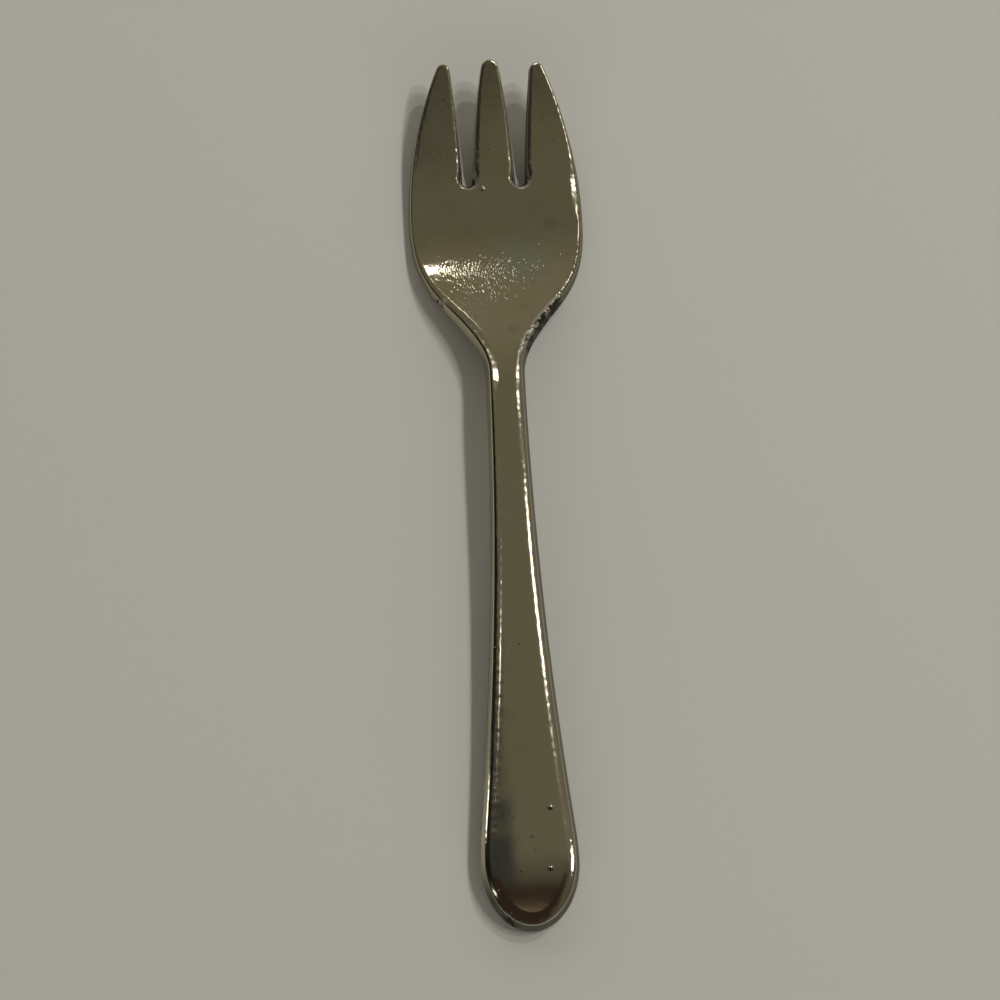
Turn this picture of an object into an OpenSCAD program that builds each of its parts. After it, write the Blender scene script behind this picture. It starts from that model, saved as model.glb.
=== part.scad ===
// Child's fork with three tines, struck in one piece and plated, lying on a table as it is laid for a meal.
// X runs across the fork, Y along it towards the tines and Z up from the table.
// The origin is on the table, under the middle of the fork's length.
// All sizes are in millimetres.

/* [Fork] */
// Length from the handle's end to the tip of the middle tine
length = 115; // [110:0.5:122]

/* [Head] */
// Width of the head at its widest
head_w = 23; // [21:0.1:25]
// How far behind the tine tips the head is widest
head_back = 21.5; // [20.5:0.1:23]
// Thickness of the bowl
bowl_t = 1.5; // [1.2:0.1:1.9]

/* [Tines] */
// Depth of the slots between the tines
slot_depth = 16.65; // [15:0.05:18]
// Width of a slot at its rounded root
slot_w = 1.25; // [1:0.05:1.5]
// Distance of a slot's root from the fork's middle line
slot_x = 3.5; // [3.3:0.05:3.7]
// Distance of an outer tip from the fork's middle line
tip_x = 6.24; // [5.8:0.02:6.6]
// How far the outer tips stop short of the middle tip
outer_back = 0.5; // [0:0.1:1]
// Radius of the outer tips
outer_r = 1.05; // [0.9:0.05:1.15]
// Radius of the middle tip
middle_r = 1.3; // [1.1:0.05:1.4]
// Angle at which the outer edges run into the tips
sweep_angle = 24; // [18:1:28]
// Thickness at the tips
tip_t = 1.15; // [0.9:0.05:1.4]

/* [Neck] */
// Width of the neck at its narrowest
neck_w = 5.1; // [4.4:0.1:6]
// How far behind the tine tips the shoulders begin
neck_back = 44.5; // [43.5:0.5:47]
// Thickness of the neck
neck_t = 2.6; // [2.2:0.1:3]

/* [Handle] */
// Width of the handle at its widest
handle_w = 12; // [11:0.1:13.5]
// Length of the rounded end, behind the widest place
handle_round = 8.2; // [7:0.1:9]
// Thickness of the handle
handle_t = 2.3; // [2:0.1:2.6]

/* [Curve of the fork seen from the side] */
// Height of the tine tips, at the middle of their thickness
tip_z = 4.8; // [3.8:0.1:6]
// Height of the neck's crest, at the middle of its thickness
crest_z = 3.85; // [3:0.05:5]
// How far behind the tine tips the crest is
crest_back = 48.5; // [47:0.5:52]
// How far behind the tine tips the bowl touches the table
floor_back = 22.5; // [21:0.5:25]
// Height of the handle before its end turns down, at the middle of its thickness
turn_z = 2.25; // [1.9:0.05:2.7]
// Length of the end that turns down
turn_run = 11.5; // [9:0.5:14]

/* [Edges] */
// Width of the rolled upper edge on the handle
handle_roll = 1.6; // [1:0.05:1.8]
// Width of the rolled upper edge on the neck
neck_roll = 1.3; // [0.8:0.05:1.4]
// Width of the rolled upper edge on the bowl
bowl_roll = 0.65; // [0.5:0.05:0.8]
// Width of the rolled upper edge on the tines
tine_roll = 0.45; // [0.4:0.05:0.55]
// How far the rolled edge comes down, as a share of its width
roll_fall = 0.26; // [0.15:0.01:0.3]
// Radius of the corner between the rolled edge and the side wall
corner_r = 0.2; // [0.1:0.01:0.25]
// How far the handle's side wall leans in from its foot to the rolled edge
handle_lean = 0.38; // [0.1:0.02:0.46]
// How far the bowl's side wall leans in
bowl_lean = 0.22; // [0.1:0.02:0.3]

/* [Hidden] */
plating = [0.66, 0.64, 0.58];

// Places along the fork
tip_y = length / 2;
end_y = -length / 2;
outer_tip_y = tip_y - outer_back;
root_y = tip_y - slot_depth;
head_y = tip_y - head_back;
floor_y = tip_y - floor_back;
neck_y = tip_y - neck_back;
crest_y = tip_y - crest_back;
round_y = end_y + handle_round;
turn_y = end_y + turn_run;

// Lines where the handle, the neck and the bowl are told apart
grip_run = 3;
palm_run = 3.5;
grip_y = crest_y - grip_run;
palm_y = neck_y + palm_run;

// The handle's thickness and edge change to those of the neck from here on
taper_run = 23;
taper_y = grip_y - taper_run;

// The edge is as on the bowl from here to the slot roots
shoulder_run = 6;
shoulder_y = head_y - shoulder_run;

// The shoulder is steepest here: a share of the way from neck to head, along and outwards
steep_along = 0.435;
steep_out = 0.575;
steep_y = mix(neck_y, head_y, steep_along);
steep_x = mix(neck_w, head_w, steep_out) / 2;
steep_slope = (head_w - neck_w) / (head_y - neck_y);

// The handle flares as a parabola from the neck to here, then rounds over to its widest place
flare_run = 6.3;
flare_share = 0.92;
flare_y = round_y + flare_run;
flare_x = flare_share * handle_w / 2;
flare_slope = -2 * (flare_x - neck_w / 2) / (neck_y - flare_y);

// Slopes at which the edges along the slots leave the roots, and angles at which they run into the tips
inner_slope = 0.03;
inner_angle = 6;
middle_slope = -0.07;
middle_angle = 11.3;
slot_r = slot_w / 2;
slot_y = root_y + slot_r;
outer_arc_y = outer_tip_y - outer_r;
middle_arc_y = tip_y - middle_r;

// Side curve: place along Y, height of the mid surface, slope
end_slope = 0.15;
turn_slope = 0.015;
tip_slope = 0.28;
under_share = 0.2;
end_z = handle_t / 2 * norm([1, end_slope]) - end_slope * under_share * handle_t;
profile = [
    [end_y, end_z, end_slope],
    [turn_y, turn_z, turn_slope],
    [crest_y, crest_z, 0],
    [floor_y, bowl_t / 2, 0],
    [tip_y, tip_z, tip_slope]
];

// Half width: place along Y, half width, slope
side = [
    [round_y, handle_w / 2, 0],
    [flare_y, flare_x, flare_slope],
    [neck_y, neck_w / 2, 0],
    [steep_y, steep_x, steep_slope],
    [head_y, head_w / 2, 0],
    [outer_arc_y + outer_r * sin(sweep_angle), tip_x + outer_r * cos(sweep_angle), -tan(sweep_angle)]
];

// Edges along a slot, from its rounded root to the tips: place along Y, distance from the middle line, slope
inner_side = [
    [slot_y, slot_x + slot_r, inner_slope],
    [outer_arc_y + outer_r * sin(inner_angle), tip_x - outer_r * cos(inner_angle), tan(inner_angle)]
];
middle_side = [
    [slot_y, slot_x - slot_r, middle_slope],
    [middle_arc_y + middle_r * sin(middle_angle), middle_r * cos(middle_angle), -tan(middle_angle)]
];

// Thickness, width of the rolled edge and lean of the wall: place along Y, value, slope
tip_thinning = -0.03;
thickness = [
    [end_y, handle_t, 0],
    [taper_y, handle_t, 0],
    [crest_y, neck_t, 0],
    [floor_y, bowl_t, 0],
    [root_y, bowl_t, 0],
    [tip_y, tip_t, tip_thinning]
];
roll = [
    [end_y, handle_roll, 0],
    [taper_y, handle_roll, 0],
    [grip_y, neck_roll, 0],
    [palm_y, neck_roll, 0],
    [shoulder_y, bowl_roll, 0],
    [root_y, bowl_roll, 0],
    [tip_y, tine_roll, 0]
];
lean = [
    [end_y, handle_lean, 0],
    [grip_y, handle_lean, 0],
    [shoulder_y, bowl_lean, 0],
    [root_y, bowl_lean, 0],
    [tip_y, bowl_lean / 2, 0]
];

// Points on the corner, on the rolled edge and on the rounding underneath
corner_steps = 3;
roll_steps = 3;
under_steps = 3;

// The edges on one side take up at most this share of a section, and the lean of the wall this share of that
edge_share = 0.46;
lean_share = 0.2;

// A slot's edge has this share of its width at the root, and its wall this share of the bowl's lean
slot_start = 0.2;
slot_lean_share = 0.6;

// Distance over which a curve's slope is taken
reach = 0.05;

// Value a share u of the way from a to b
function mix(a, b, u) = a + (b - a) * u;

// Cubic between two rows of place, value and slope
function cubic(p, q, y) =
    let (run = q[0] - p[0], u = (y - p[0]) / run)
    p[1] * (1 + 2 * u) * (1 - u) * (1 - u)
    + q[1] * u * u * (3 - 2 * u)
    + run * u * (1 - u) * (p[2] * (1 - u) - q[2] * u);

// Value at y of the smooth curve through rows, held at its ends
function along(rows, y, i = 0) =
    y <= rows[0][0] ? rows[0][1]
    : i >= len(rows) - 1 ? rows[len(rows) - 1][1]
    : y <= rows[i + 1][0] ? cubic(rows[i], rows[i + 1], y)
    : along(rows, y, i + 1);

// Slope at y of the curve through rows
function slope(rows, y) = (along(rows, y + reach) - along(rows, y - reach)) / (2 * reach);

// Half of an ellipse's width, a share u of the way along its half length
function bulge(u) = sqrt(max(0, 1 - u * u));

// Half width of the outline, rounded end included
function half(y) = y < round_y ? handle_w / 2 * bulge((round_y - y) / handle_round) : along(side, y);

// How much longer than wide a band along the outline is, when cut straight across the fork
function skew(y) = norm([1, (half(y + reach) - half(y - reach)) / (2 * reach)]);

// Half width of a slot's round root
function slot_half(y) = slot_r * (y < slot_y ? bulge(1 - (y - root_y) / slot_r) : 1);

// Edge that follows rows and then the tip's arc, on the side of the arc's middle x that way points to
function edge(rows, y, x, arc_y, r, way) =
    y < rows[len(rows) - 1][0] ? along(rows, y) : x + way * r * bulge((y - arc_y) / r);

// How far the edge has come down, a distance d in from the wall, where the rolled edge is w wide
function fall(d, w) =
    roll_fall * w * pow(1 - min(1, d / w), 2) + corner_r * (1 - bulge(1 - min(1, d / corner_r)));

// Distances in from the wall at which a section has points: round the corner, then up the rolled edge
function insets(w) = concat(
    [for (i = [0 : corner_steps]) corner_r * (1 - cos(90 * i / corner_steps))],
    [for (i = [1 : roll_steps]) mix(corner_r, w, i / roll_steps)]
);

// Points of the rolled edge from the wall at x, z to the flat, with factors for its width and its height
function upper(x, z, w, wider, higher) = [
    for (d = insets(w)) [x + wider * d, z + higher * (fall(0, w) - fall(d, w))]
];

// Points of the rounding underneath, from the wall at x, z to the flat at x + dx, z + dz
function under(x, z, dx, dz) = [
    for (i = [0 : under_steps])
        let (a = 90 * i / under_steps)
        [x + dx * (1 - cos(a)), z + dz * sin(a)]
];
function reversed(points) = [for (i = [len(points) - 1 : -1 : 0]) points[i]];

// Section across the fork at y, between left and right, a distance d from a rounded end.
// Each side has a factor for the rolled edge's width and a lean of its wall.
// The rolled edge and the rounding underneath run on round the end, so both are lower there
function section(y, d, left, right, draw_l, draw_r, lean_l, lean_r) =
    let (
        mid = along(profile, y),
        t = along(thickness, y) * norm([1, slope(profile, y)]),
        w = along(roll, y),
        rise = under_share * t,
        most = edge_share * (right - left),
        in_l = min(lean_l, lean_share * most),
        in_r = min(lean_r, lean_share * most),
        side_l = min(draw_l, (most - in_l) / w),
        side_r = min(draw_r, (most - in_r) / w),
        under_l = min(rise, most, side_l * w),
        under_r = min(rise, most, side_r * w),
        shoulder = mid + t / 2 - fall(0, w),
        foot = mid - t / 2 + rise,
        higher = 1 - fall(d, w) / fall(0, w),
        down = -rise * bulge(1 - min(1, d / rise)),
        ring = concat(
            upper(right - in_r, shoulder, w, -side_r, higher),
            reversed(upper(left + in_l, shoulder, w, side_l, higher)),
            under(left, foot, under_l, down),
            reversed(under(right, foot, -under_r, down))
        )
    )
    [for (p = ring) [p[0], y, p[1]]];

// Sections of the whole width, from the handle's end to the slot roots
function whole(y) =
    let (w = half(y), lean_y = along(lean, y))
    section(y, y - end_y, -w, w, skew(y), skew(y), lean_y, lean_y);

// Share of its width that the rolled edge along a slot has, and lean of the slot's wall
function slot_draw(y) = mix(slot_start, 1, slot_half(y) / slot_r);
function slot_lean(y) = slot_lean_share * along(lean, y) * slot_half(y) / slot_r;

// Sections of the middle tine
function middle(y) =
    let (w = y < slot_y ? slot_x - slot_half(y) : edge(middle_side, y, 0, middle_arc_y, middle_r, 1))
    section(y, tip_y - y, -w, w, slot_draw(y), slot_draw(y), slot_lean(y), slot_lean(y));

// Sections of the outer tine on the right
function outer(y) =
    let (
        left = y < slot_y ? slot_x + slot_half(y) : edge(inner_side, y, tip_x, outer_arc_y, outer_r, -1),
        right = edge(side, y, tip_x, outer_arc_y, outer_r, 1),
        draw_r = skew(min(y, outer_arc_y))
    )
    section(y, outer_tip_y - y, left, right, slot_draw(y), draw_r, slot_lean(y), along(lean, y));

// The same section on the other side of the middle line
function mirrored(ring) = reversed([for (p = ring) [-p[0], p[1], p[2]]]);

// Places along Y for the sections: even runs, and runs that close up towards a rounding
last_angle = 86;
function even(a, b, n) = [for (i = [0 : n]) mix(a, b, i / n)];
function without_first(list) = [for (i = [1 : len(list) - 1]) list[i]];
handle_end_ys = [for (a = even(last_angle, 0, 22)) round_y - handle_round * sin(a)];
handle_ys = concat(handle_end_ys, without_first(even(round_y, grip_y, 24)));
neck_ys = even(grip_y, palm_y, 8);
bowl_ys = even(palm_y, root_y, 22);
slot_ys = [for (a = even(0, 90, 5)) slot_y - slot_r * cos(a)];
middle_ys = tine_ys(middle_arc_y, middle_r);
outer_ys = tine_ys(outer_arc_y, outer_r);
function tine_ys(arc_y, r) = concat(
    slot_ys,
    without_first(even(slot_y, arc_y, 13)),
    [for (a = without_first(even(0, last_angle, 13))) arc_y + r * sin(a)]
);

// Solid through a run of sections, closed at both ends
module loft(rings) {
    n = len(rings[0]);
    last = len(rings) - 1;
    points = [for (ring = rings) for (p = ring) p];
    walls = [
        for (j = [0 : last - 1]) for (i = [0 : n - 1])
            [j * n + i, j * n + (i + 1) % n, (j + 1) * n + (i + 1) % n, (j + 1) * n + i]
    ];
    first_cap = [for (i = [n - 1 : -1 : 0]) i];
    last_cap = [for (i = [0 : n - 1]) last * n + i];
    polyhedron(points = points, faces = concat(walls, [first_cap, last_cap]), convexity = 4);
}

// Flared grip with its rounded end turned down to the table
module handle() {
    color(plating) loft([for (y = handle_ys) whole(y)]);
}

// Narrow stem, thickest of all, over the crest of the side curve
module neck() {
    color(plating) loft([for (y = neck_ys) whole(y)]);
}

// Shoulders and palm of the head, up to the slot roots
module bowl() {
    color(plating) loft([for (y = bowl_ys) whole(y)]);
}

module left_tine() {
    color(plating) loft([for (y = outer_ys) mirrored(outer(y))]);
}

module middle_tine() {
    color(plating) loft([for (y = middle_ys) middle(y)]);
}

module right_tine() {
    color(plating) loft([for (y = outer_ys) outer(y)]);
}

handle();
neck();
bowl();
left_tine();
middle_tine();
right_tine();
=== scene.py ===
# %% [markdown]
# # A child's fork
# The fork is one piece of metal. A press strikes a flat blank between two dies, which rolls its upper edge
# over, lifts the tines and bends the neck, and the struck blank is then plated.
# The lesson cuts the blank in plan, writes the strike and the plating as node trees, strikes the blank,
# parts it into its named regions, and lights it.
# The packed solids give the outline and the heights, so they are loaded first and never moved.

# %% Load the frame
import math

import bmesh
import bpy
import numpy as np
from mathutils import Matrix, Vector, geometry, kdtree


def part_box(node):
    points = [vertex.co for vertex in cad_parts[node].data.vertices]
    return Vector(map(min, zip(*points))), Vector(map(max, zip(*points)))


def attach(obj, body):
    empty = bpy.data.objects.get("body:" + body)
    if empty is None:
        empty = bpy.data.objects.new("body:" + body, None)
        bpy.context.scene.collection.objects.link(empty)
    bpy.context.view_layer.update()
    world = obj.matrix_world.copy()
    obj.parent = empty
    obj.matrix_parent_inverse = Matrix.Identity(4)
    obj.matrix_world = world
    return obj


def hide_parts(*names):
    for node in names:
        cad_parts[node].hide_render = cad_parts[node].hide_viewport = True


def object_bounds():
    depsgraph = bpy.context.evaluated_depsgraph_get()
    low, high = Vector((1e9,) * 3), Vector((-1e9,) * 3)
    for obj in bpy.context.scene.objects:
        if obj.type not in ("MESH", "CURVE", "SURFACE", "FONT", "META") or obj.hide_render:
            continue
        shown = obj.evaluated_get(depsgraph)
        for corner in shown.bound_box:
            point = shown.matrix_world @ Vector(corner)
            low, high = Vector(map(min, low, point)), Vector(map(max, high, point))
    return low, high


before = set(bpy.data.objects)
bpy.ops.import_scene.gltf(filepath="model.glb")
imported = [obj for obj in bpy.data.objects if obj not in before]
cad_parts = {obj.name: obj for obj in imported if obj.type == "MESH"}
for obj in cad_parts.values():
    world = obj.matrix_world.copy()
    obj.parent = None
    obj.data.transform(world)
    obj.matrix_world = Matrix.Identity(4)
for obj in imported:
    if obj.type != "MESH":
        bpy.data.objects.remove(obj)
cad_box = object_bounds()
MM = 0.001
print("CAD box, mm:", [[round(v / MM, 3) for v in corner] for corner in cad_box])

# %% [markdown]
# ## Reading the packed solids
# Each solid is a run of sections straight across the fork. A section's lowest and highest numbers give the
# two edges of the outline and the heights of the two faces, which is all that the blank needs.

# %% Sections of a solid
PLACE, LEFT, RIGHT, BASE, TOP = range(5)


def sections(node):
    """Rows of place along Y, left edge, right edge, base and top, in mm."""
    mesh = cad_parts[node].data
    points = np.empty(len(mesh.vertices) * 3)
    mesh.vertices.foreach_get("co", points)
    points = points.reshape(-1, 3) / MM
    places = np.round(points[:, 1], 3)
    rows = []
    for place in np.unique(places):
        x, y, z = points[places == place].T
        rows.append([y.mean(), x.min(), x.max(), z.min(), z.max()])
    return np.array(rows)


shaft = np.vstack([sections(node) for node in ("handle", "neck", "bowl")])
outer_tine = sections("right_tine")
middle_tine = sections("middle_tine")
print("sections:", len(shaft), "along the shaft,", len(outer_tine), "along an outer tine")

# %% Places along the fork, in mm
end_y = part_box("handle")[0].y / MM
grip_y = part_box("neck")[0].y / MM
palm_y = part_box("bowl")[0].y / MM
root_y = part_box("middle_tine")[0].y / MM
tip_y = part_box("middle_tine")[1].y / MM
slot_x = outer_tine[0, LEFT]
print("slot roots at x", round(slot_x, 3), "y", round(root_y, 3))

# %% [markdown]
# ## A curve through measured points
# A natural cubic spline passes through every measured point and bends as little as it can in between.
# One helper serves for the outline, which is a closed loop, and for the heights along the fork.

# %% Spline
def spline(knots, values):
    """Function of place that passes through rows of values at the knots."""
    knots, values = np.asarray(knots, float), np.asarray(values, float)
    gaps = np.diff(knots)
    last = len(knots) - 1
    grid, pull = np.eye(last + 1), np.zeros_like(values)
    for i in range(1, last):
        grid[i, i - 1:i + 2] = gaps[i - 1], 2 * (gaps[i - 1] + gaps[i]), gaps[i]
    pull[1:-1] = 6 * np.diff(np.diff(values, axis=0) / gaps[:, None], axis=0)
    bend = np.linalg.solve(grid, pull)

    def at(place):
        i = np.clip(np.searchsorted(knots, place) - 1, 0, last - 1)
        b = ((place - knots[i]) / gaps[i])[:, None]
        a = 1 - b
        bent = (a ** 3 - a) * bend[i] + (b ** 3 - b) * bend[i + 1]
        return a * values[i] + b * values[i + 1] + bent * gaps[i][:, None] ** 2 / 6

    return at


# %% [markdown]
# ## The outline
# The edges of the sections, taken in turn round the fork, make the outline. The packed solids stop a hair
# short of their rounded ends, so each end gets one more point, where a parabola through the last two sections
# has its top. The right half is read from the frame and the left half is its mirror image.

# %% Outline points
def rounded_end(last, before):
    """Point at the top of a rounding, from the last two sections before it."""
    narrow, wide = ((row[RIGHT] - row[LEFT]) / 2 for row in (last, before))
    y = (last[PLACE] * wide * wide - before[PLACE] * narrow * narrow) / (wide * wide - narrow * narrow)
    return [[(last[LEFT] + last[RIGHT]) / 2, y]]


half = np.vstack([
    rounded_end(shaft[0], shaft[1]),
    shaft[:, [RIGHT, PLACE]],
    outer_tine[:, [RIGHT, PLACE]],
    rounded_end(outer_tine[-1], outer_tine[-2]),
    outer_tine[::-1][:, [LEFT, PLACE]],
    middle_tine[:, [RIGHT, PLACE]],
    rounded_end(middle_tine[-1], middle_tine[-2]),
])
closest = 0.01
measured = np.vstack([half, half[-2:0:-1] * [-1, 1]])
apart = np.linalg.norm(measured - np.roll(measured, 1, axis=0), axis=1)
measured = measured[apart > closest]
print("outline:", len(measured), "measured points")

# %% [markdown]
# The outline is walked again in short steps for the mesh. Where it bends sharply, at the tips and the slot
# roots, the steps get shorter, so that every rounding stays round. It is set in by a hair, which keeps the
# finished fork inside the box of the packed solids.

# %% Outline in short steps
wrap, fine_points, smoothing = 12, 30001, 120
longest_step, shortest_step, steps_a_radian = 0.2, 0.085, 8.0
set_in = 0.022

wrapped = np.vstack([measured[-wrap:], measured, measured[:wrap]])
run = np.concatenate([[0], np.cumsum(np.linalg.norm(np.diff(wrapped, axis=0), axis=1))])
path = spline(run, wrapped)
fine = np.linspace(run[wrap], run[wrap + len(measured)], fine_points)


def tangent(s, reach=0.004):
    """Direction of the outline at each distance along it."""
    along = path(s + reach) - path(s - reach)
    return along / np.linalg.norm(along, axis=1)[:, None]


turn = np.abs(np.diff(np.unwrap(np.arctan2(*tangent(fine).T)))) / np.diff(fine)
step = np.clip(1 / (steps_a_radian * np.maximum(turn, 1e-6)), shortest_step, longest_step)
spread = np.hanning(2 * smoothing + 1)
all_round = np.concatenate([step[-smoothing:], step, step[:smoothing]])
step = np.convolve(all_round, spread / spread.sum(), "valid")
count = np.concatenate([[0], np.cumsum(np.diff(fine) / step)])
columns = 2 * round(count[-1] / 2)
stations = np.interp(np.arange(columns) * count[-1] / columns, count, fine)
along = tangent(stations)
out = np.stack([along[:, 1], -along[:, 0]], axis=1)
outline = path(stations) - set_in * out
print("outline:", columns, "columns, steps from", round(step.min(), 3), "to", round(step.max(), 3), "mm")

# %% [markdown]
# ## The edge's sizes
# The upper edge is rolled over in a gentle bend, which ends in a small rounded corner, and the wall below the
# corner spreads a little towards its foot. The roll is broad on the handle and narrows towards the tips, so
# each size is given for four places and changes smoothly between them. On the right of the head a stretch has
# been rubbed to a wider, flatter roll, and the slot roots have rounder corners.

# %% Sizes of the edge along the fork, in mm
taper_run, shoulder_run = 23, 6
head_y = shaft[np.argmax(shaft[:, RIGHT]), PLACE]
shoulder_y = head_y - shoulder_run
broad_y = grip_y - taper_run


def ease(value, low, high):
    """0 below low, 1 above high, smooth between."""
    u = np.clip((value - low) / (high - low), 0, 1)
    return u * u * (3 - 2 * u)


def along_fork(y, handle, neck, bowl, tip):
    """Size at y, from those on the handle, the neck and the bowl and at the tips."""
    to_neck, to_bowl = ease(y, broad_y, grip_y), ease(y, palm_y, shoulder_y)
    to_tip = ease(y, root_y, tip_y)
    return handle + (neck - handle) * to_neck + (bowl - neck) * to_bowl + (tip - bowl) * to_tip


rubbed_wider, rubbed_flatter = 0.8, 0.6
slot_wider, slot_rounder = 0.3, 0.4
fall_share, plain_corner = 0.26, 0.2
edge_x, edge_y = outline.T
rubbed = (edge_x > 8) * ease(edge_y, 35, 38) * (1 - ease(edge_y, 40.5, 44))
slot_root = (np.abs(edge_x) < 6) * ease(edge_y, 35, 36) * (1 - ease(edge_y, 41.5, 43.5))
roll = along_fork(edge_y, 1.6, 1.3, 0.65, 0.45) + rubbed_wider * rubbed + slot_wider * slot_root
drop = fall_share * (roll - rubbed_flatter * rubbed)
corner = plain_corner + slot_rounder * slot_root
lean = along_fork(edge_y, 0.38, 0.38, 0.22, 0.11)
print("roll from", round(roll.min(), 2), "to", round(roll.max(), 2), "mm")

# %% [markdown]
# ## The blank in plan
# Rings parallel to the outline carry the rolled edge, so that its highlights run along it without steps.
# Inside the last ring an even field of points is joined into triangles. Cut lines across the field are kept
# as edges, because the struck fork is parted along them later.

# %% Rings along the edge
corner_rings, roll_rings = 6, 8
corner_shares = 1 - np.cos(np.linspace(0, math.pi / 2, corner_rings))
roll_shares = np.linspace(0, 1, roll_rings)[1:]
flat_shares = np.array([1.14, 1.36])
rings = np.vstack([
    np.outer(corner_shares, corner),
    corner + np.outer(roll_shares, roll - corner),
    np.outer(flat_shares, roll),
])
ring_points = outline - (lean + rings)[:, :, None] * out
last_ring = ring_points[-1]
first_inner = (len(rings) - 1) * columns
print("rings:", len(rings), "of", columns, "points")

# %% Columns where the regions part
right_side = np.arange(columns // 2)


def column_near(x, y):
    """Column on the right half of the outline nearest to a point."""
    return int(np.argmin(np.linalg.norm(outline[right_side] - [x, y], axis=1)))


def width_at(y):
    """Half the width of the shaft at y."""
    return np.interp(y, shaft[:, PLACE], shaft[:, RIGHT])


slot_column = column_near(slot_x, root_y)
root_line_y = last_ring[slot_column, 1]
grip_column = column_near(width_at(grip_y), grip_y)
palm_column = column_near(width_at(palm_y), palm_y)
root_column = column_near(width_at(root_line_y), root_line_y)
corners = [grip_column, palm_column, root_column, slot_column]
corners += [columns - c for c in reversed(corners)]
names = ["handle", "neck", "bowl", "right_tine", "middle_tine", "left_tine", "bowl", "neck", "handle"]
regions = ["handle", "neck", "bowl", "left_tine", "middle_tine", "right_tine"]
stretch = np.searchsorted(corners, np.arange(columns), "right")
column_region = np.array([regions.index(name) for name in names])[stretch]
cuts = [(corners[i], corners[j]) for i, j in ((0, 7), (1, 6), (2, 3), (3, 4), (4, 5))]
print("columns at the cuts:", corners)

# %% [markdown]
# ## Blisters in the plating
# Old plating lifts in tiny blisters, which catch the light as specks. A few stand where the real fork shows
# them, and some smaller ones are scattered with a fixed seed. Each is a low dome on the upper face, so the
# blank gets a few rings of points under each one to hold its shape.

# %% Where the blisters are
blisters = [  # x, y, radius, height, in mm
    (2.68, -43.1, 0.36, 0.09),
    (0.45, -46.5, 0.3, 0.02),
    (2.33, -50.4, 0.3, 0.085),
    (-0.06, -22.8, 0.2, 0.03),
    (1.8, -26.4, 0.2, 0.035),
    (2.1, -26.8, 0.16, 0.03),
    (4.89, -47.0, 0.22, 0.05),
    (-4.9, -53.4, 0.24, 0.05),
    (-1.6, 40.1, 0.36, 0.1),
]
scattered_count = 46
field_step, field_rows, field_columns = 0.46, 150, 26
field_to_ring, field_to_dome, field_to_cut = 0.3, 0.2, 0.3
dome_to_ring, dome_to_cut = 0.12, 0.15
field = np.array([
    [field_step * (i + 0.5 * (j % 2)), field_step * math.sqrt(0.75) * j]
    for j in range(-field_rows, field_rows + 1) for i in range(-field_columns, field_columns + 1)
])


def nearest(points, others):
    """Distance from each point to the nearest of the others."""
    tree = kdtree.KDTree(len(others))
    for i, (x, y) in enumerate(others):
        tree.insert((x, y, 0), i)
    tree.balance()
    return np.array([tree.find((x, y, 0))[2] for x, y in points])


def inside(points, loop):
    """Which points lie inside a closed loop: those with an odd number of its edges to their right."""
    a, b = loop, np.roll(loop, -1, axis=0)
    x, y = points[:, 0, None], points[:, 1, None]
    crossed = (a[:, 1] > y) != (b[:, 1] > y)
    with np.errstate(divide="ignore", invalid="ignore"):
        at = a[:, 0] + (y - a[:, 1]) * (b[:, 0] - a[:, 0]) / (b[:, 1] - a[:, 1])
    return (crossed & (x < at)).sum(axis=1) % 2 == 1


field = field[inside(field, last_ring)]
field = field[nearest(field, last_ring) > field_to_ring]
draw = np.random.RandomState(7)
scattered = field[draw.choice(len(field), scattered_count, replace=False)]
for x, y in scattered:
    blisters.append((x, y, draw.uniform(0.09, 0.17), draw.uniform(0.008, 0.02)))
print("blisters:", len(blisters), "of them scattered:", len(scattered))

# %% Points under the blisters and along the cuts
def dome_points(x, y, radius):
    """Rings of points that hold one blister."""
    points = []
    for share, number in [(0, 1), (0.35, 6), (0.68, 9), (1.0, 12), (1.45, 12)]:
        for k in range(number):
            angle = math.tau * (k + share) / number
            points.append([x + radius * share * math.cos(angle), y + radius * share * math.sin(angle)])
    return points


domes = np.vstack([dome_points(x, y, radius) for x, y, radius, _ in blisters])
domes = domes[inside(domes, last_ring)]
domes = domes[nearest(domes, last_ring) > dome_to_ring]
cut_lines = []
for i, j in cuts:
    pieces = max(2, round(np.linalg.norm(last_ring[i] - last_ring[j]) / field_step))
    shares_between = np.linspace(0, 1, pieces + 1)[1:-1, None]
    cut_lines.append(last_ring[i] + (last_ring[j] - last_ring[i]) * shares_between)
on_cuts = np.vstack(cut_lines)
domes = domes[nearest(domes, on_cuts) > dome_to_cut]
field = field[(nearest(field, domes) > field_to_dome) & (nearest(field, on_cuts) > field_to_cut)]
print("points inside:", len(field), "even,", len(domes), "under blisters,", len(on_cuts), "on cuts")

# %% Triangles of the field
plan = np.vstack([last_ring, on_cuts, domes, field])
edges = [(c, (c + 1) % columns) for c in range(columns)]
first = columns
for (i, j), line in zip(cuts, cut_lines):
    chain = [i, *range(first, first + len(line)), j]
    edges += list(zip(chain, chain[1:]))
    first += len(line)
filled = geometry.delaunay_2d_cdt([Vector(p) for p in plan], edges, [], 1, 1e-6)
source = [ids[0] for ids in filled[3]]
triangles = [[source[v] for v in face] for face in filled[2]]
print("field:", len(triangles), "triangles")

# %% [markdown]
# ## The blank as a mesh
# The rings and the field become one flat mesh in metres. What the strike has to know at each point is stored
# as attributes: how far in from the edge it is, which way is out, and how high the two faces come to lie.

# %% Flat mesh with its faces told apart
flat = np.vstack([ring_points.reshape(-1, 2), plan[columns:]])
quads, quad_regions = [], []
for ring in range(len(rings) - 1):
    for c in range(columns):
        low, high = ring * columns, (ring + 1) * columns
        n = (c + 1) % columns
        quads.append([low + c, low + n, high + n, high + c])
        quad_regions.append(column_region[c])
faces = quads + [[first_inner + v for v in face] for face in triangles]


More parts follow.
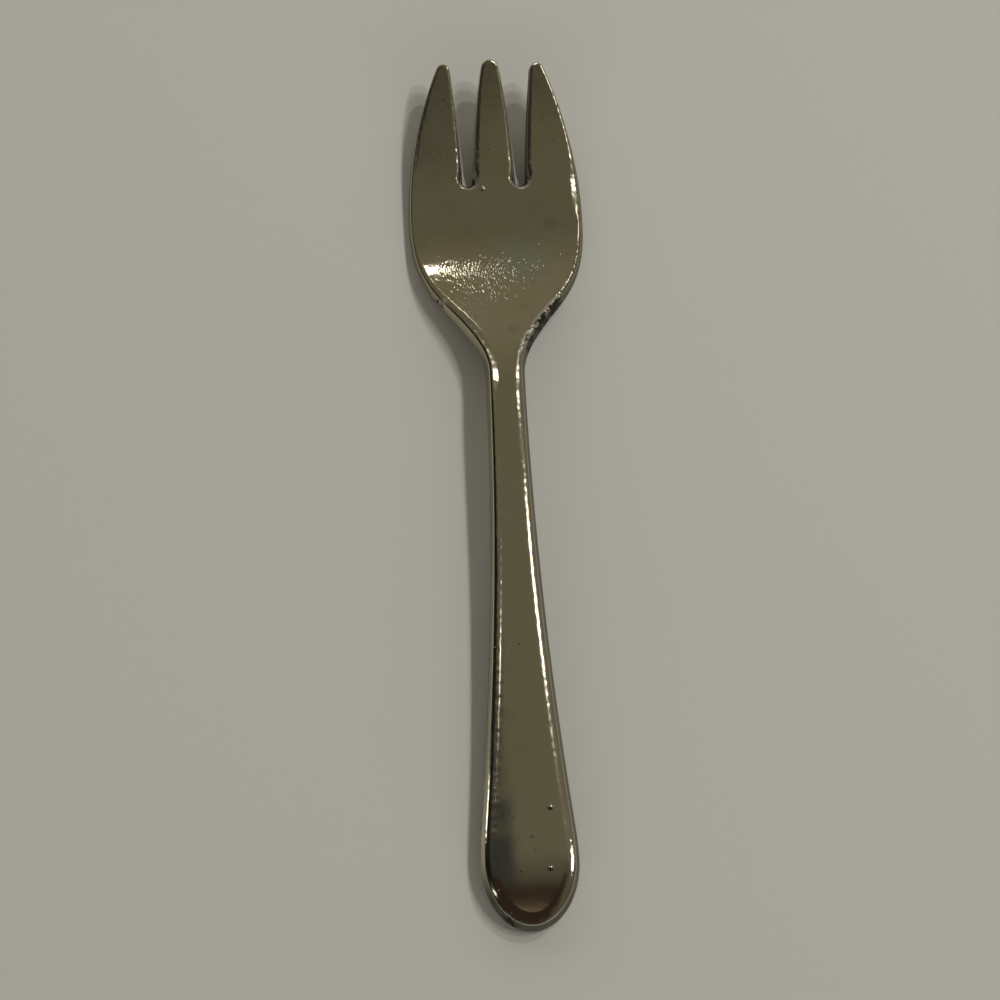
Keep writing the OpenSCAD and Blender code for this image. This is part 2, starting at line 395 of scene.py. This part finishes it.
def field_region(x, y):
    """Region in which a triangle of the field lies, from its centre."""
    if y < last_ring[grip_column, 1]:
        return "handle"
    if y < last_ring[palm_column, 1]:
        return "neck"
    if y < root_line_y:
        return "bowl"
    if abs(x) < slot_x:
        return "middle_tine"
    return "right_tine" if x > 0 else "left_tine"


centres = plan[np.array(triangles)].mean(axis=1)
face_regions = quad_regions + [regions.index(field_region(*centre)) for centre in centres]
blank_mesh = bpy.data.meshes.new("blank")
blank_mesh.from_pydata(np.column_stack([flat * MM, np.zeros(len(flat))]).tolist(), [], faces)
print("blank:", len(flat), "points,", len(faces), "faces")

# %% Heights of the two faces
rows = np.vstack([shaft, middle_tine])
rows = rows[np.unique(np.round(rows[:, PLACE], 3), return_index=True)[1]]
clear_of_end, clear_of_tip = 1.3, 0.6
clear = (rows[:, PLACE] > end_y + clear_of_end) & (rows[:, PLACE] < tip_y - clear_of_tip)
heights = spline(rows[clear, PLACE], rows[clear][:, [BASE, TOP]])
crown, widest_y, end_dip, off_lowest = 0.2, -49, 0.035, 0.001


def crowning(x, y):
    """How far the broad end of the handle falls away from its middle line."""
    return crown * ease(-y, 15, 45) * (x / width_at(widest_y)) ** 2


base, top = heights(flat[:, 1]).T
base = np.maximum(base, cad_box[0][2] / MM + off_lowest)
top = top - crowning(*flat.T) - end_dip * ease(-flat[:, 1], 41.5, 46.5)
lift = np.zeros(len(flat))
for x, y, radius, height in blisters:
    share = np.hypot(flat[:, 0] - x, flat[:, 1] - y) / radius
    lift = np.maximum(lift, height * np.clip(1 - share * share, 0, 1) ** 1.5)
print("heights: base from", round(base.min(), 3), "top to", round(top.max(), 3), "mm")

# %% What the strike needs, as attributes
on_rings, far_in = rings.size, 9.0


def store(name, values, kind="FLOAT", domain="POINT"):
    """Adds an attribute to the blank."""
    key = "vector" if kind == "FLOAT_VECTOR" else "value"
    made = blank_mesh.attributes.new(name, kind, domain)
    made.data.foreach_set(key, np.ascontiguousarray(values).ravel())


def on_every_ring(values, in_field):
    """One value for each column, repeated on each ring, and one for the whole field."""
    return np.concatenate([np.tile(values, len(rings)), np.full(len(flat) - on_rings, in_field)])


inset = np.concatenate([rings.ravel(), np.full(len(flat) - on_rings, far_in)])
rim = inset / on_every_ring(roll, 1.0)
outwards = np.zeros((len(flat), 3))
outwards[:on_rings, :2] = np.tile(out, (len(rings), 1))
for name, values in (
    ("inset", inset), ("roll", on_every_ring(roll, 1.0)), ("drop", on_every_ring(drop, 0.0)),
    ("corner", on_every_ring(corner, 1.0)), ("lean", on_every_ring(lean, 0.0)),
    ("base", base), ("top", top), ("lift", lift * ease(rim, 0, 0.3)),
):
    store(name, values * MM)
store("rim", rim)
store("out", outwards, "FLOAT_VECTOR")
store("plan", np.arange(len(flat)), "INT")
store("region", face_regions, "INT", "FACE")
blank = bpy.data.objects.new("blank", blank_mesh)
bpy.context.scene.collection.objects.link(blank)
print("attributes:", [a.name for a in blank_mesh.attributes])

# %% [markdown]
# ## Writing node trees as expressions
# A Math node for each plus and times makes a tree long to write and hard to read. A small class that wraps a
# socket lets Python's own operators add those nodes, and one method adds every other kind of node.
# The same two classes write the strike, the plating and the light.

# %% Sockets as values
def operation(name, swapped=False):
    """Method that adds one Math node."""
    def apply(self, other):
        pair = (other, self) if swapped else (self, other)
        return self.tree.math(name, *pair)
    return apply


class Value:
    """A socket in a node tree, on which Python's operators add Math nodes."""

    def __init__(self, tree, socket):
        self.tree, self.socket = tree, socket

    __add__, __radd__ = operation("ADD"), operation("ADD", True)
    __sub__, __rsub__ = operation("SUBTRACT"), operation("SUBTRACT", True)
    __mul__, __rmul__ = operation("MULTIPLY"), operation("MULTIPLY", True)
    __truediv__, __rtruediv__ = operation("DIVIDE"), operation("DIVIDE", True)
    __pow__ = operation("POWER")

    def least(self, other):
        return self.tree.math("MINIMUM", self, other)

    def most(self, other):
        return self.tree.math("MAXIMUM", self, other)

    def ease(self, low, high):
        """0 below low, 1 above high, smooth between."""
        ends = {"Value": self, "From Min": low, "From Max": high, "To Min": 0.0, "To Max": 1.0}
        return self.tree.node("ShaderNodeMapRange", {"interpolation_type": "SMOOTHSTEP"}, ends)


# %% Trees
def pick(sockets, key):
    """Socket by number, identifier or name."""
    if isinstance(key, int):
        return sockets[key]
    found = [s for s in sockets if s.identifier == key]
    found += [s for s in sockets if s.name == key and s.enabled]
    return found[0]


class Tree:
    """A node tree that is being written."""

    def __init__(self, made):
        self.made = made

    def node(self, kind, settings=None, sockets=None, out=0):
        """Adds a node: settings first, then values or links. Gives one output, or several for a tuple."""
        node = self.made.nodes.new(kind)
        for name, setting in (settings or {}).items():
            setattr(node, name, setting)
        for key, given in (sockets or {}).items():
            socket = pick(node.inputs, key)
            if isinstance(given, Value):
                self.made.links.new(given.socket, socket)
            else:
                socket.default_value = given
        if isinstance(out, tuple):
            return [Value(self, pick(node.outputs, o)) for o in out]
        return Value(self, pick(node.outputs, out)) if len(node.outputs) else None

    def math(self, name, *given):
        return self.node("ShaderNodeMath", {"operation": name}, dict(enumerate(given)))

    def vector(self, name, a, b):
        return self.node("ShaderNodeVectorMath", {"operation": name}, {0: a, 1: b})

    def scaled(self, a, factor):
        return self.node("ShaderNodeVectorMath", {"operation": "SCALE"}, {0: a, "Scale": factor})

    def mix(self, factor, a, b):
        """Colour between a and b."""
        sockets = {"Factor_Float": factor, "A_Color": a, "B_Color": b}
        return self.node("ShaderNodeMix", {"data_type": "RGBA"}, sockets, "Result_Color")

    def noise(self, place, size, detail=2.0, roughness=0.5):
        """Noise whose features are about as long as size, in metres."""
        sockets = {"Vector": place, "Scale": 1 / size, "Detail": detail, "Roughness": roughness}
        return self.node("ShaderNodeTexNoise", None, sockets)


print("a tree can add:", [name for name in vars(Tree) if not name.startswith("_")])

# %% [markdown]
# ## The strike
# One Geometry Nodes tree turns the flat blank into the fork. The upper face rises to its height and comes
# down over the rolled edge in a shallow curve, which ends in a small quarter-round corner. The rim is
# drawn down into the leaning wall. The same blank, turned over, makes the underside with its small
# rounding, and the two are welded at the wall's foot. A little seeded noise along the rolled edge stands
# for the beads that plating builds up on an edge.

# %% Inputs of the strike
strike = bpy.data.node_groups.new("strike", "GeometryNodeTree")
strike.is_modifier = True
strike.interface.new_socket("Struck", in_out="OUTPUT", socket_type="NodeSocketGeometry")
strike.interface.new_socket("Blank", in_out="INPUT", socket_type="NodeSocketGeometry")
inputs = {}
for name, kind, value in (
    ("Under share", "NodeSocketFloat", 0.2),
    ("Bead height", "NodeSocketFloat", 0.016 * MM),
    ("Bead length", "NodeSocketFloat", 0.75 * MM),
    ("Seed", "NodeSocketFloat", 3.0),
    ("Plating", "NodeSocketMaterial", None),
):
    socket = strike.interface.new_socket(name, in_out="INPUT", socket_type=kind)
    inputs[socket.identifier] = (name, value)
form = Tree(strike)
input_names = ("Blank", *(name for name, value in inputs.values()))
given = dict(zip(input_names, form.node("NodeGroupInput", out=input_names)))
print("strike inputs:", list(given))

# %% Upper face
def attribute(name, kind="FLOAT"):
    """Attribute of the blank, by name."""
    return form.node("GeometryNodeInputNamedAttribute", {"data_type": kind}, {"Name": name}, "Attribute")


def set_position(mesh, offset, selection=True):
    """Moves the chosen points of a mesh by an offset."""
    sockets = {"Geometry": mesh, "Offset": offset, "Selection": selection}
    return form.node("GeometryNodeSetPosition", None, sockets)


def upright(z):
    """Offset straight up."""
    return form.node("ShaderNodeCombineXYZ", None, {"Z": z})


rim_a, top_a, base_a = attribute("rim"), attribute("top"), attribute("base")
lean_a, out_a = attribute("lean"), attribute("out", "FLOAT_VECTOR")
inset_a, corner_a, drop_a = attribute("inset"), attribute("corner"), attribute("drop")
thick = top_a - base_a
from_flat = 1 - rim_a.least(1.0)
from_roll = 1 - (inset_a / corner_a).least(1.0)
rounded = 1 - (1 - from_roll * from_roll).most(0.0) ** 0.5
place = form.node("GeometryNodeInputPosition")
shifted = form.vector("ADD", place, form.node("ShaderNodeCombineXYZ", None, {"X": given["Seed"]}))
bead_scale = {"Vector": shifted, "Scale": 1 / given["Bead length"], "Detail": 1.0}
beads = form.node("ShaderNodeTexNoise", None, bead_scale) - 0.5
near_edge = 1 - rim_a.ease(0.8, 1.05)
bead = {"Geometry": given["Blank"], "Name": "bead", "Value": beads * given["Bead height"] * near_edge * 2}
prepared = form.node("GeometryNodeStoreNamedAttribute", {"data_type": "FLOAT", "domain": "POINT"}, bead)
bead_a = attribute("bead")
upper_z = top_a - drop_a * from_flat * from_flat - corner_a * rounded + attribute("lift") + bead_a
upper = set_position(prepared, upright(upper_z))
print("upper face written")

# %% Wall, drawn down from the rim in steps
faces_at_edge = form.node("GeometryNodeInputMeshEdgeNeighbors")
rising = given["Under share"] * thick
shoulder_z, foot_z = top_a - drop_a - corner_a + bead_a, base_a + rising
drawn = form.vector("ADD", form.scaled(out_a, lean_a), upright(foot_z - shoulder_z))
wall_steps = (0.0, 0.1, 0.35, 0.65, 0.9, 1.0)
body, edge = upper, form.math("LESS_THAN", faces_at_edge, 1.5)
for before, after in zip(wall_steps, wall_steps[1:]):
    sockets = {"Mesh": body, "Selection": edge, "Offset Scale": 0.0}
    body, edge = form.node("GeometryNodeExtrudeMesh", {"mode": "EDGES"}, sockets, ("Mesh", "Top"))
    body = set_position(body, form.scaled(drawn, after - before), edge)
print("wall written in", len(wall_steps) - 1, "steps")

# %% Underside, weld and finish
spread_out = lean_a * (1 - rim_a.least(1.0))
from_foot = inset_a + lean_a - spread_out
under_in = (from_foot / rising).least(1.0)
bowed = (1 - (1 - under_in) * (1 - under_in)) ** 0.5
under_z = foot_z - rising * bowed
under = set_position(prepared, form.vector("ADD", form.scaled(out_a, spread_out), upright(under_z)))
under = form.node("GeometryNodeFlipFaces", None, {"Mesh": under})
joined = form.made.nodes.new("GeometryNodeJoinGeometry")
for sheet in (body, under):
    strike.links.new(sheet.socket, joined.inputs[0])
weld = {"Geometry": Value(form, joined.outputs[0]), "Distance": 2e-7}
welded = form.node("GeometryNodeMergeByDistance", None, weld)
smooth = form.node("GeometryNodeSetShadeSmooth", None, {"Geometry": welded})
real = form.node("GeometryNodeRealizeInstances", None, {"Geometry": smooth})
plated = form.node("GeometryNodeSetMaterial", None, {"Geometry": real, "Material": given["Plating"]})
form.node("NodeGroupOutput", None, {"Struck": plated})
print("strike:", len(strike.nodes), "nodes")

# %% [markdown]
# ## The plating
# The finish is a bright nickel-coloured plate, warm and a little smudged. Several things make it look used:
# a faint orange peel, finer scratches on the bowl where it has been scrubbed, brown patches and stains that
# change the tint, and dark base metal where the plate has worn through at the edge. A grey-blue patch on the
# bowl is a painted reflection, and dark spots at the slot roots are painted shade. The tint is also lighter
# on the handle and darker on the left tine, and the walls of the right half and round the handle's end are
# made dark and dull.
# Everything is made from Object coordinates and the rim attribute, so it stays put from every side.

# %% Start of the plating
plating = bpy.data.materials.new("plating")
plating.use_nodes = True
plating.node_tree.nodes.clear()
coat = Tree(plating.node_tree)
object_place = coat.node("ShaderNodeTexCoord", None, None, "Object")
px, py = coat.node("ShaderNodeSeparateXYZ", None, {"Vector": object_place}, ("X", "Y"))
rim_p = coat.node("ShaderNodeAttribute", {"attribute_name": "rim"}, None, "Fac")


def spot(x, y, radius):
    """1 at a place on the fork, in mm, falling to 0 at the radius."""
    from_x, from_y = px - x * MM, py - y * MM
    distance = (from_x * from_x + from_y * from_y) ** 0.5
    return 1 - distance.ease(0.25 * radius * MM, radius * MM)


print("plating started")

# %% Tint, patches, stains and a painted reflection
nickel, straw, bright = (0.56, 0.52, 0.41, 1), (0.55, 0.49, 0.35, 1), (0.74, 0.68, 0.53, 1)
reflected_grey_blue, brown = (0.5, 0.53, 0.5, 1), (0.36, 0.31, 0.25, 1)
broad = coat.noise(object_place, 9 * MM, 3.0)
patchy = coat.noise(object_place, 2.6 * MM, 4.0, 0.6)
tint = coat.mix(broad.ease(0.36, 0.62) * 0.8, nickel, straw)
# Random brown patches, and a broad darker patch over the left tine.
brown_patches = (patchy.ease(0.45, 0.75) * 0.22).most(spot(-8.0, 47.0, 10.0) * 0.4)
tint = coat.mix(brown_patches, tint, brown)
# Painted reflection: grey-blue patches on the bowl and on the left of the head stand for what the metal
# mirrors there.
reflection_patches = (spot(3.0, 29.5, 5.0) * 0.7).most(spot(-10.2, 38.5, 3.5) * patchy.ease(0.4, 0.6) * 0.6)
tint = coat.mix(reflection_patches, tint, reflected_grey_blue)
stains = (spot(7.0, 34.8, 1.3) * 0.35).most(spot(1.3, 18.9, 1.1) * 0.35).most(spot(-1.7, -31.8, 1.6) * 0.3)
tint = coat.mix(stains, tint, brown)
# The tint is lighter on the handle and the neck, fading out towards the bowl.
lighter_handle = 1 - py.ease(8 * MM, 20 * MM)
tint = coat.mix(lighter_handle * 0.5, tint, bright)
print("tint written")

# %% Worn edge, painted shade at the slot roots, and dark walls
ragged = coat.noise(object_place, 0.6 * MM, 4.0, 0.65)
at_edge = 1 - rim_p.ease(0.3, 1.0)
right_shoulder = spot(6.9, 22.4, 2.6).most(spot(5.0, 20.0, 3.2)).most(spot(3.6, 17.4, 2.6))
worn_and_shaded_places = right_shoulder.most(spot(-3.3, -57.0, 2.4)).most(spot(-7.9, 23.6, 1.8) * 0.8)
# Painted shade: the two spots at the slot roots paint the rounded root edges dark, like bare base metal.
worn_and_shaded_places = worn_and_shaded_places.most(spot(-3.2, 41.0, 2.0)).most(spot(3.7, 41.0, 2.0))
worn_and_shaded = (worn_and_shaded_places - 0.48 + (ragged - 0.5) * 3).ease(0.0, 0.6) * at_edge
specks = ragged.ease(0.66, 0.72) * at_edge * 0.7
bare_and_shaded = worn_and_shaded.most(specks)
# Dark base metal for the worn edge, also used to paint shade at the slot roots.
base_metal_and_shade = (0.016, 0.012, 0.009, 1)
# The walls of the right half and round the handle's end are made dark and dull.
wall = 1 - rim_p.ease(0.02, 0.15)
dull = wall * (px.ease(0.2 * MM, 1.2 * MM) * 0.92).most((0 - py).ease(47 * MM, 54 * MM) * 0.95)
dark_wall_colour = (0.05, 0.046, 0.037, 1)
print("wear written")

# %% Peel, scratches and finish
peel_height, grain_height, worn_depth = 0.008 * MM, 0.015 * MM, 0.008 * MM
peel = coat.noise(object_place, 1.1 * MM, 1.0)
drawn_out = coat.vector("MULTIPLY", object_place, (1.0, 0.35, 1.0))
grain = coat.noise(drawn_out, 0.22 * MM, 1.0, 0.5)
scrubbed = py.ease(20 * MM, 25 * MM) * (1 - py.ease(30 * MM, 34 * MM))
scratched = scrubbed * (0.12 + px.ease(-8.5 * MM, -6 * MM) * 0.6 + px.ease(-7 * MM, 0 * MM) * 0.7) + 0.05
smooth_end = py.ease(-40 * MM, -32 * MM) * 0.85 + 0.15
relief = peel * smooth_end * peel_height + grain * scratched * grain_height - worn_and_shaded * worn_depth
bump = coat.node("ShaderNodeBump", None, {"Height": relief, "Distance": 1.0, "Strength": 1.0})
spoilt = bare_and_shaded.most(dull)
roughness = 0.08 - scrubbed * 0.045 + patchy.ease(0.4, 0.75) * 0.03
roughness = roughness + (1 - rim_p.ease(0.5, 1.3)) * 0.03 + spoilt * 0.45
shine = coat.node("ShaderNodeBsdfPrincipled", None, {
    "Base Color": coat.mix(bare_and_shaded, coat.mix(dull, tint, dark_wall_colour), base_metal_and_shade),
    "Metallic": 1 - spoilt * 0.95,
    "Roughness": roughness,
    "Specular IOR Level": 0.1,
    "Normal": bump,
})
coat.node("ShaderNodeOutputMaterial", None, {"Surface": shine})
print("plating:", len(plating.node_tree.nodes), "nodes")

# %% [markdown]
# ## Striking the blank
# The modifier's inputs are set by identifier before anything is evaluated. The evaluated result becomes a
# plain mesh, and the flat blank and its modifier are taken away.

# %% Strike
press = blank.modifiers.new("strike", "NODES")
press.node_group = strike
for identifier, (name, value) in inputs.items():
    press[identifier] = plating if name == "Plating" else value
evaluated = blank.evaluated_get(bpy.context.evaluated_depsgraph_get())
struck = bpy.data.meshes.new_from_object(evaluated)
blank.modifiers.remove(press)
bpy.data.objects.remove(blank)
print("struck:", len(struck.vertices), "points,", len(struck.polygons), "faces")

# %% Check that the struck fork is closed and faces outwards
shell = bmesh.new()
shell.from_mesh(struck)
bmesh.ops.recalc_face_normals(shell, faces=shell.faces)
if shell.calc_volume(signed=True) < 0:
    bmesh.ops.reverse_faces(shell, faces=shell.faces)
open_edges = sum(1 for e in shell.edges if len(e.link_faces) != 2)
print("open edges:", open_edges, "volume, mm3:", round(shell.calc_volume() / MM ** 3, 1))
shell.to_mesh(struck)
shell.free()

# %% [markdown]
# ## Parting the fork into its named regions
# The handle, the neck, the bowl and the tines are separate solids in the frame, so the fork is parted
# into the same six. Each keeps the normals that it had in the whole, so no seam shows, and is closed at
# each cut by flat faces from top to underside.

# %% Part
normals = np.empty(len(struck.vertices) * 3)
struck.vertex_normals.foreach_get("vector", normals)
normals = normals.reshape(-1, 3)
region_of = np.empty(len(struck.polygons), int)
struck.attributes["region"].data.foreach_get("value", region_of)
blank_only = {"inset", "roll", "drop", "corner", "lean", "base", "top", "lift", "bead"}
blank_only |= {"out", "plan", "region", "whole"}


def close_cuts(solid):
    """Joins the upper face to the underside along every open edge of a parted piece."""
    plan_of = solid.verts.layers.int["plan"]
    open_edges = [e for e in solid.edges if len(e.link_faces) == 1]
    stacks = {}
    for v in {v for e in open_edges for v in e.verts}:
        stacks.setdefault(v[plan_of], []).append(v)
    for stack in stacks.values():
        stack.sort(key=lambda v: -v.co.z)
    for e in open_edges:
        a, b = (stacks[v[plan_of]] for v in e.verts)
        if a is not b and {a[0], b[0]} == set(e.verts):
            solid.faces.new(a + b[::-1]).smooth = False


def part(region):
    """Closed piece of the fork that stands for one CAD node."""
    solid = bmesh.new()
    solid.from_mesh(struck)
    whole = solid.verts.layers.int.new("whole")
    for v in solid.verts:
        v[whole] = v.index
    solid.faces.ensure_lookup_table()
    others = [solid.faces[i] for i in np.flatnonzero(region_of != regions.index(region))]
    bmesh.ops.delete(solid, geom=others, context="FACES")
    close_cuts(solid)
    bmesh.ops.recalc_face_normals(solid, faces=solid.faces)
    corner_normals = [normals[v[whole]] if f.smooth else f.normal for f in solid.faces for v in f.verts]
    closed = all(len(e.link_faces) == 2 for e in solid.edges)
    mesh = bpy.data.meshes.new("struck_" + region)
    solid.to_mesh(mesh)
    solid.free()
    mesh.normals_split_custom_set([tuple(n) for n in corner_normals])
    for name in [a.name for a in mesh.attributes if a.name in blank_only]:
        mesh.attributes.remove(mesh.attributes[name])
    mesh.materials.clear()
    mesh.materials.append(plating)
    piece = bpy.data.objects.new("struck_" + region, mesh)
    bpy.context.scene.collection.objects.link(piece)
    print(piece.name, len(mesh.vertices), "points,", len(mesh.polygons), "faces, closed:", closed)
    return piece


for region in regions:
    piece = part(region)
    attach(piece, "root")
    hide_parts(region)

# %% [markdown]
# ## Table, light and camera
# The fork lies on a plain pale table. A mirror-like metal shows what is round it, so most of its colour
# comes from the room: dim olive overhead, paler beyond, dark on the near side and dark far to the left. A
# pale glow low before and behind lights the table, and the metal mirrors only a tenth of it. The lamps
# come in two kinds, kept apart by ray visibility. Three on the right light the table and cast the shadow,
# and the metal doesn't mirror them. The others are seen only by the metal: each is placed along the ray
# that the camera sends off a point of the struck face, so that a line of light falls where it is wanted.

# %% Table
table_mesh = bpy.data.meshes.new("table")
reach = 6.0
square = [(-reach, -reach, 0), (reach, -reach, 0), (reach, reach, 0), (-reach, reach, 0)]
table_mesh.from_pydata(square, [], [(0, 1, 2, 3)])
table = bpy.data.objects.new("table", table_mesh)
bpy.context.scene.collection.objects.link(table)
table_top = bpy.data.materials.new("table_top")
table_top.use_nodes = True
table_top.node_tree.nodes.clear()
slab = Tree(table_top.node_tree)
matte = slab.node("ShaderNodeBsdfPrincipled", None, {
    "Base Color": (0.475, 0.467, 0.415, 1),
    "Roughness": 0.7,
    "Specular IOR Level": 0.2,
})
slab.node("ShaderNodeOutputMaterial", None, {"Surface": matte})
table_mesh.materials.append(table_top)
print("table:", 2 * reach, "m wide")

# %% Room
world = bpy.data.worlds.new("room")
bpy.context.scene.world = world
world.use_nodes = True
world.node_tree.nodes.clear()
sky = Tree(world.node_tree)
direction = sky.node("ShaderNodeTexCoord", None, None, "Generated")
dx, dy, dz = sky.node("ShaderNodeSeparateXYZ", None, {"Vector": direction}, ("X", "Y", "Z"))


def below(value, limit, soft):
    """1 where a value is under a limit, with a soft edge."""
    return 1 - value.ease(limit - soft, limit + soft)


overhead, beyond, side = (0.15, 0.145, 0.105, 1), (0.24, 0.218, 0.155, 1), (0.155, 0.147, 0.108, 1)
near, near_dark, near_band = (0.1, 0.092, 0.07, 1), (0.033, 0.022, 0.016, 1), (0.2, 0.155, 0.115, 1)
shade, dark, pale = (0.042, 0.043, 0.045, 1), (0.01, 0.009, 0.006, 1), (2.1, 2.08, 1.98, 1)
mirrored_ray = sky.node("ShaderNodeLightPath", None, None, "Is Glossy Ray")
high = dz.ease(0.4, 0.5)
low = below(dz, 0.5, 0.1) * (dy * dy).ease(0.2, 0.5)
in_band = below(dy, -0.115, 0.01) * dy.ease(-0.16, -0.14) * below(dx, 0.115, 0.015) * dx.ease(-0.02, 0.02)
in_shade = below(dx, 0.013, 0.012) * below(dy + dx * 0.12, 0.149, 0.012) * dy.ease(-0.08, -0.04) * high
room = sky.mix(dy.ease(0.45, 0.8), overhead, beyond)
for share, colour in (
    ((dx * dx).ease(0.05, 0.2), side),
    (below(dy, 0.02, 0.05), near),
    (below(dy, -0.055, 0.025) * below(dx, 0.45, 0.15) * high, near_dark),
    (in_band, near_band),
    (in_shade, shade),
    (below(dx, -0.56, 0.04) * dz.ease(0.26, 0.36), dark),
    (dy.ease(0.85, 0.9) * mirrored_ray, dark),
    (low * (1 - mirrored_ray * 0.9), pale),
):
    room = sky.mix(share, room, colour)
backdrop = sky.node("ShaderNodeBackground", None, {"Color": room, "Strength": 1.0})
sky.node("ShaderNodeOutputWorld", None, {"Surface": backdrop})
print("room:", len(world.node_tree.nodes), "nodes")

# %% Camera
azimuth, elevation, roll_angle = math.radians(-10), math.radians(71), math.radians(7.623)
aim = Vector((-1.465, -3.806, 3.0)) * MM
eye_distance = 300
flat_share = math.cos(elevation)
back = Vector((math.sin(azimuth) * flat_share, -math.cos(azimuth) * flat_share, math.sin(elevation)))
level = Vector((math.cos(azimuth), math.sin(azimuth), 0))
across = level * math.cos(roll_angle) + back.cross(level) * math.sin(roll_angle)
up = back.cross(across)
eye = aim + back * eye_distance * MM
camera = bpy.data.objects.new("camera", bpy.data.cameras.new("camera"))
camera.data.sensor_width = 36
camera.data.lens = 85.98
camera.data.clip_start = 0.01
camera.matrix_world = Matrix((across, up, back)).transposed().to_4x4()
camera.matrix_world.translation = eye
bpy.context.scene.collection.objects.link(camera)
bpy.context.scene.camera = camera
bpy.context.scene.view_settings.view_transform = "Standard"
print("camera at", [round(v, 4) for v in eye])

# %% Lamps that light the table
def lamp(name, place, facing, along, width, length, energy):
    """Oblong lamp at a place, turned to face a point, with its length along a direction."""
    light = bpy.data.lights.new(name, "AREA")
    light.shape = "RECTANGLE"
    light.size, light.size_y, light.energy = width, length, energy
    towards = (place - facing).normalized()
    along = (along - towards * along.dot(towards)).normalized()
    lit = bpy.data.objects.new(name, light)
    lit.matrix_world = Matrix((along.cross(towards), along, towards)).transposed().to_4x4()
    lit.matrix_world.translation = place
    bpy.context.scene.collection.objects.link(lit)
    print(name, "at", [round(v, 3) for v in place], "energy", round(energy, 3), "W")
    return lit


away = 1.6
for name, towards, size, share in (
    ("light_right", (0.567, 0.33, 0.752), 0.2, 0.17),
    ("light_right_near", (0.586, 0.112, 0.802), 0.08, 0.13),
    ("light_right_far", (0.477, 0.577, 0.663), 0.08, 0.13),
):
    towards = Vector(towards)
    energy = share * math.pi ** 2 * away ** 2 / towards.z
    lamp(name, towards * away, Vector(), Vector((0, 1, 0)), size, size, energy).visible_glossy = False

# %% [markdown]
# The bright lines and spots on the metal are mirrored lamps. Each is placed from the fork itself: a point of
# the upper face, its normal and the camera give the direction that is mirrored there, and the lamp stands out
# along it. Two points make a line of light. These lamps are left out of the table's light.

# %% Lamps that the metal mirrors
struck_points = np.empty(len(struck.vertices) * 3)
struck.vertices.foreach_get("co", struck_points)
struck_points = struck_points.reshape(-1, 3)
facing_up = 0.6
upper_face = kdtree.KDTree(len(normals))
for i in np.flatnonzero(normals[:, 2] > facing_up):
    upper_face.insert((struck_points[i, 0], struck_points[i, 1], 0), int(i))
upper_face.balance()


def mirrored(x, y, share, distance):
    """Place of a lamp that the camera sees mirrored at a point, and the point. Share is across the roll."""
    if share is not None:
        column = np.argmin(np.linalg.norm(outline - [x, y], axis=1))
        ring = len(corner_shares) - 1 + round(share * len(roll_shares))
        x, y = ring_points[ring, column]
    i = upper_face.find((x * MM, y * MM, 0))[1]
    point, normal = Vector(struck_points[i]), Vector(normals[i])
    view = (eye - point).normalized()
    return point + (2 * normal.dot(view) * normal - view) * distance, point


def glint(name, start, stop, share, distance, width, spare, brightness):
    """Lamp mirrored from one point to another, with some length to spare."""
    (a, point_a), (b, point_b) = mirrored(*start, share, distance), mirrored(*stop, share, distance)
    length = (b - a).length + spare
    along = b - a if start != stop else Vector((0, 1, 0))
    energy = brightness * math.pi * width * length
    lit = lamp(name, (a + b) / 2, (point_a + point_b) / 2, along, width, length, energy)
    lit.visible_diffuse = lit.visible_camera = False


glints = (  # name, from, to, share across the roll, distance, width, spare length, brightness
    ("glint_bowl", (-9.0, 28.5), (-9.0, 28.5), None, 0.15, 0.006, 0.004, 4.5),
    ("glint_head", (11.45, 39.6), (11.45, 39.6), 0.25, 0.2, 0.045, 0.012, 4.0),
    ("glint_shoulder", (9.9, 26.8), (8.9, 25.0), 0.43, 0.1, 0.014, 0.0, 2.5),
    ("glint_right", (2.4, -5.0), (3.8, -26.0), 0.43, 0.25, 0.034, 0.0, 5),
    ("glint_end", (5.7, -48.4), (5.85, -50.4), 0.29, 0.15, 0.022, 0.004, 5),
    ("glint_left", (-3.2, -22.0), (-4.0, -32.0), 0.57, 0.25, 0.012, 0.0, 5),
    ("glint_low_left", (-5.2, -42.0), (-5.5, -46.0), 0.05, 0.08, 0.014, 0.0, 5),
    ("glint_neck", (-2.3, 12.2), (-2.3, 12.2), 0.5, 0.03, 0.012, 0.0025, 5),
    ("glint_neck_right", (2.4, 12.0), (2.4, 12.0), 0.45, 0.03, 0.006, 0.002, 5),
    ("glint_tips", (0.7, 57.2), (0.7, 57.2), 0.3, 0.02, 0.006, 0.003, 5),
    ("glint_corner", (-5.2, -53.3), (-5.2, -53.3), 0.14, 0.1, 0.012, 0.004, 5),
)
for settings in glints:
    glint(*settings)

# %% [markdown]
